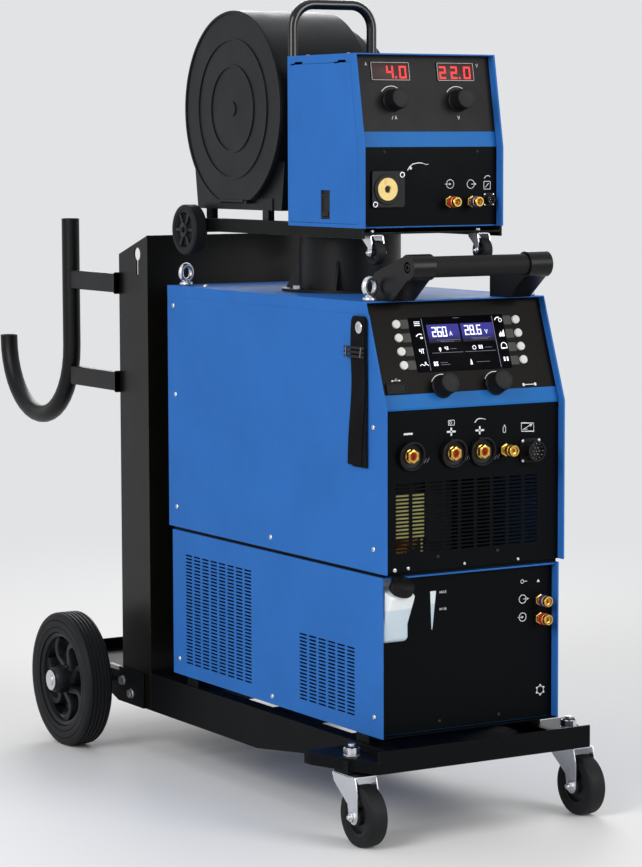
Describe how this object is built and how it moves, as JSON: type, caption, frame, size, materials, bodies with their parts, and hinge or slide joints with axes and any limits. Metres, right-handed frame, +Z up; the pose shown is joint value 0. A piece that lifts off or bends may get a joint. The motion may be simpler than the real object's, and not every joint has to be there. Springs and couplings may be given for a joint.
{
  "type": "mig welding set on cart",
  "caption": "Welding power source on a liquid cooler, wire feeder on a swivel pedestal, wheeled cart with bottle tray, column and cable hanger.",
  "frame": {"origin": "middle of the footprint, on the floor", "axes": "+X to the right when facing the controls, +Y from the front to the rear, +Z up"},
  "size_m": [0.608, 1.4728, 1.367],
  "materials": {
    "frame_black": "black powder coat, satin",
    "zinc_steel": "bright zinc plating",
    "wheel_rubber": "black rubber on a black plastic rim",
    "shell_blue": "blue powder coat with a fine texture",
    "panel_black": "black powder coat",
    "control_face": "dark grey membrane with a glass window",
    "tank_white": "translucent white moulded tank",
    "plastic_black": "black moulded plastic",
    "key_grey": "light grey keys",
    "brass_fitting": "turned brass in black insulation",
    "aluminium": "cast and extruded aluminium",
    "copper_parts": "varnished copper windings and steel cores",
    "switch_red": "red switch handle",
    "webbing": "black woven webbing",
    "roll_steel": "ground steel",
    "spool_wire": "copper-coated wire on a plastic spool"
  },
  "bodies": {
    "cart": {"cart_frame": "frame_black", "back_column": "frame_black", "cable_hook": "frame_black", "rear_axle": "zinc_steel", "cooler_case": "shell_blue", "cooler_front": "panel_black", "coolant_tank": "tank_white", "radiator": "aluminium", "chassis": "panel_black", "side_panels": "shell_blue", "top_cover": "shell_blue", "source_front": "panel_black", "control_panel": "control_face", "weld_sockets": "brass_fitting", "power_unit": "copper_parts", "lifting_eyes": "zinc_steel", "front_handle": "plastic_black", "tie_strap": "webbing", "pedestal": "frame_black"},
    "feeder": {"feeder_base": "frame_black", "feeder_case": "shell_blue", "feeder_front": "panel_black", "torch_socket": "brass_fitting", "wire_drive": "aluminium", "drum_housing": "plastic_black", "feeder_handle": "frame_black"},
    "rear_wheel_left": {"rear_wheel_left": "wheel_rubber"},
    "rear_wheel_right": {"rear_wheel_right": "wheel_rubber"},
    "caster_fork_left": {"caster_fork_left": "zinc_steel"},
    "caster_fork_right": {"caster_fork_right": "zinc_steel"},
    "caster_wheel_left": {"caster_wheel_left": "wheel_rubber"},
    "caster_wheel_right": {"caster_wheel_right": "wheel_rubber"},
    "filler_cap": {"filler_cap": "plastic_black"},
    "cooler_fan": {"cooler_fan": "plastic_black"},
    "source_knob_left": {"source_knob_left": "plastic_black"},
    "source_knob_right": {"source_knob_right": "plastic_black"},
    "key_1": {"key_1": "key_grey"},
    "key_2": {"key_2": "key_grey"},
    "key_3": {"key_3": "key_grey"},
    "key_4": {"key_4": "key_grey"},
    "key_5": {"key_5": "key_grey"},
    "key_6": {"key_6": "key_grey"},
    "key_7": {"key_7": "key_grey"},
    "key_8": {"key_8": "key_grey"},
    "source_fan": {"source_fan": "plastic_black"},
    "mains_switch": {"mains_switch": "switch_red"},
    "feeder_door": {"feeder_door": "shell_blue"},
    "door_latch": {"door_latch": "plastic_black"},
    "feeder_knob_left": {"feeder_knob_left": "plastic_black"},
    "feeder_knob_right": {"feeder_knob_right": "plastic_black"},
    "feed_roll": {"feed_roll": "roll_steel"},
    "pressure_arm": {"pressure_arm": "plastic_black"},
    "drum_lid": {"drum_lid": "plastic_black"},
    "wire_spool": {"wire_spool": "spool_wire"},
    "feeder_wheel_left": {"feeder_wheel_left": "wheel_rubber"},
    "feeder_wheel_right": {"feeder_wheel_right": "wheel_rubber"},
    "feeder_fork_left": {"feeder_fork_left": "zinc_steel"},
    "feeder_fork_right": {"feeder_fork_right": "zinc_steel"},
    "feeder_caster_left": {"feeder_caster_left": "wheel_rubber"},
    "feeder_caster_right": {"feeder_caster_right": "wheel_rubber"}
  },
  "joints": [
    {"name": "rear_wheel_left_spin", "type": "hinge", "parent": "cart", "child": "rear_wheel_left", "pos_m": [-0.258, 0.28458, 0.125], "axis": [1, 0, 0], "continuous": true},
    {"name": "caster_left_swivel", "type": "hinge", "parent": "cart", "child": "caster_fork_left", "pos_m": [-0.215, -0.64943, 0.116], "axis": [0, 0, 1], "continuous": true},
    {"name": "caster_left_spin", "type": "hinge", "parent": "caster_fork_left", "child": "caster_wheel_left", "pos_m": [-0.215, -0.68642, 0.05], "axis": [1, 0, 0], "continuous": true},
    {"name": "rear_wheel_right_spin", "type": "hinge", "parent": "cart", "child": "rear_wheel_right", "pos_m": [0.258, 0.28458, 0.125], "axis": [1, 0, 0], "continuous": true},
    {"name": "caster_right_swivel", "type": "hinge", "parent": "cart", "child": "caster_fork_right", "pos_m": [0.215, -0.64943, 0.116], "axis": [0, 0, 1], "continuous": true},
    {"name": "caster_right_spin", "type": "hinge", "parent": "caster_fork_right", "child": "caster_wheel_right", "pos_m": [0.215, -0.68642, 0.05], "axis": [1, 0, 0], "continuous": true},
    {"name": "feeder_swivel", "type": "hinge", "parent": "cart", "child": "feeder", "pos_m": [0, -0.29842, 0.976], "axis": [0, 0, 1], "range_deg": [-90, 90]},
    {"name": "feeder_wheel_left_spin", "type": "hinge", "parent": "feeder", "child": "feeder_wheel_left", "pos_m": [-0.151, 0.00258, 0.971], "axis": [1, 0, 0], "continuous": true},
    {"name": "feeder_caster_left_swivel", "type": "hinge", "parent": "feeder", "child": "feeder_fork_left", "pos_m": [-0.105, -0.53543, 0.976], "axis": [0, 0, 1], "continuous": true},
    {"name": "feeder_caster_left_spin", "type": "hinge", "parent": "feeder_fork_left", "child": "feeder_caster_left", "pos_m": [-0.105, -0.55043, 0.946], "axis": [1, 0, 0], "continuous": true},
    {"name": "source_knob_left_turn", "type": "hinge", "parent": "cart", "child": "source_knob_left", "pos_m": [-0.052, -0.66456, 0.7311], "axis": [0, -0.9405, 0.3397], "continuous": true},
    {"name": "feeder_knob_left_turn", "type": "hinge", "parent": "feeder", "child": "feeder_knob_left", "pos_m": [-0.064, -0.53504, 1.19283], "axis": [0, -0.9848, 0.1738], "range_deg": [-135, 135]},
    {"name": "feeder_wheel_right_spin", "type": "hinge", "parent": "feeder", "child": "feeder_wheel_right", "pos_m": [0.151, 0.00258, 0.971], "axis": [1, 0, 0], "continuous": true},
    {"name": "feeder_caster_right_swivel", "type": "hinge", "parent": "feeder", "child": "feeder_fork_right", "pos_m": [0.105, -0.53543, 0.976], "axis": [0, 0, 1], "continuous": true},
    {"name": "feeder_caster_right_spin", "type": "hinge", "parent": "feeder_fork_right", "child": "feeder_caster_right", "pos_m": [0.105, -0.55043, 0.946], "axis": [1, 0, 0], "continuous": true},
    {"name": "source_knob_right_turn", "type": "hinge", "parent": "cart", "child": "source_knob_right", "pos_m": [0.052, -0.66456, 0.7311], "axis": [0, -0.9405, 0.3397], "continuous": true},
    {"name": "feeder_knob_right_turn", "type": "hinge", "parent": "feeder", "child": "feeder_knob_right", "pos_m": [0.064, -0.53504, 1.19283], "axis": [0, -0.9848, 0.1738], "range_deg": [-135, 135]},
    {"name": "key_1_press", "type": "slide", "parent": "cart", "child": "key_1", "axis": [0, 0.9405, -0.3397], "range_m": [0, 0.0012], "stiffness_N_per_m": 800, "springref_m": -0.0002},
    {"name": "key_2_press", "type": "slide", "parent": "cart", "child": "key_2", "axis": [0, 0.9405, -0.3397], "range_m": [0, 0.0012], "stiffness_N_per_m": 800, "springref_m": -0.0002},
    {"name": "key_3_press", "type": "slide", "parent": "cart", "child": "key_3", "axis": [0, 0.9405, -0.3397], "range_m": [0, 0.0012], "stiffness_N_per_m": 800, "springref_m": -0.0002},
    {"name": "key_4_press", "type": "slide", "parent": "cart", "child": "key_4", "axis": [0, 0.9405, -0.3397], "range_m": [0, 0.0012], "stiffness_N_per_m": 800, "springref_m": -0.0002},
    {"name": "key_5_press", "type": "slide", "parent": "cart", "child": "key_5", "axis": [0, 0.9405, -0.3397], "range_m": [0, 0.0012], "stiffness_N_per_m": 800, "springref_m": -0.0002},
    {"name": "key_6_press", "type": "slide", "parent": "cart", "child": "key_6", "axis": [0, 0.9405, -0.3397], "range_m": [0, 0.0012], "stiffness_N_per_m": 800, "springref_m": -0.0002},
    {"name": "key_7_press", "type": "slide", "parent": "cart", "child": "key_7", "axis": [0, 0.9405, -0.3397], "range_m": [0, 0.0012], "stiffness_N_per_m": 800, "springref_m": -0.0002},
    {"name": "key_8_press", "type": "slide", "parent": "cart", "child": "key_8", "axis": [0, 0.9405, -0.3397], "range_m": [0, 0.0012], "stiffness_N_per_m": 800, "springref_m": -0.0002},
    {"name": "feeder_door_swing", "type": "hinge", "parent": "feeder", "child": "feeder_door", "pos_m": [-0.14, -0.49042, 1.257], "axis": [0, 1, 0], "range_deg": [0, 110]},
    {"name": "door_latch_lift", "type": "slide", "parent": "feeder_door", "child": "door_latch", "axis": [0, 0, 1], "range_m": [0, 0.006], "stiffness_N_per_m": 300, "springref_m": -0.0005},
    {"name": "drum_lid_drop", "type": "hinge", "parent": "feeder", "child": "drum_lid", "pos_m": [-0.137, -0.13043, 1.024], "axis": [0, -1, 0], "range_deg": [0, 90]},
    {"name": "filler_cap_turn", "type": "hinge", "parent": "cart", "child": "filler_cap", "pos_m": [-0.144, -0.68442, 0.408], "axis": [0, -0.5, 0.866], "continuous": true},
    {"name": "mains_switch_turn", "type": "hinge", "parent": "cart", "child": "mains_switch", "pos_m": [-0.11, 0.04258, 0.781], "axis": [0, 1, 0], "range_deg": [0, 90]},
    {"name": "source_fan_spin", "type": "hinge", "parent": "cart", "child": "source_fan", "pos_m": [0, -0.00042, 0.606], "axis": [0, 1, 0], "continuous": true},
    {"name": "cooler_fan_spin", "type": "hinge", "parent": "cart", "child": "cooler_fan", "pos_m": [0, -0.02243, 0.297], "axis": [0, 1, 0], "continuous": true},
    {"name": "wire_spool_spin", "type": "hinge", "parent": "feeder", "child": "wire_spool", "pos_m": [-0.078, -0.13043, 1.184], "axis": [1, 0, 0], "continuous": true},
    {"name": "feed_roll_spin", "type": "hinge", "parent": "feeder", "child": "feed_roll", "pos_m": [-0.091, -0.44043, 1.0334], "axis": [1, 0, 0], "continuous": true},
    {"name": "pressure_arm_lift", "type": "hinge", "parent": "feeder", "child": "pressure_arm", "pos_m": [-0.091, -0.39543, 1.0706], "axis": [-1, 0, 0], "range_deg": [0, 60]}
  ]
}
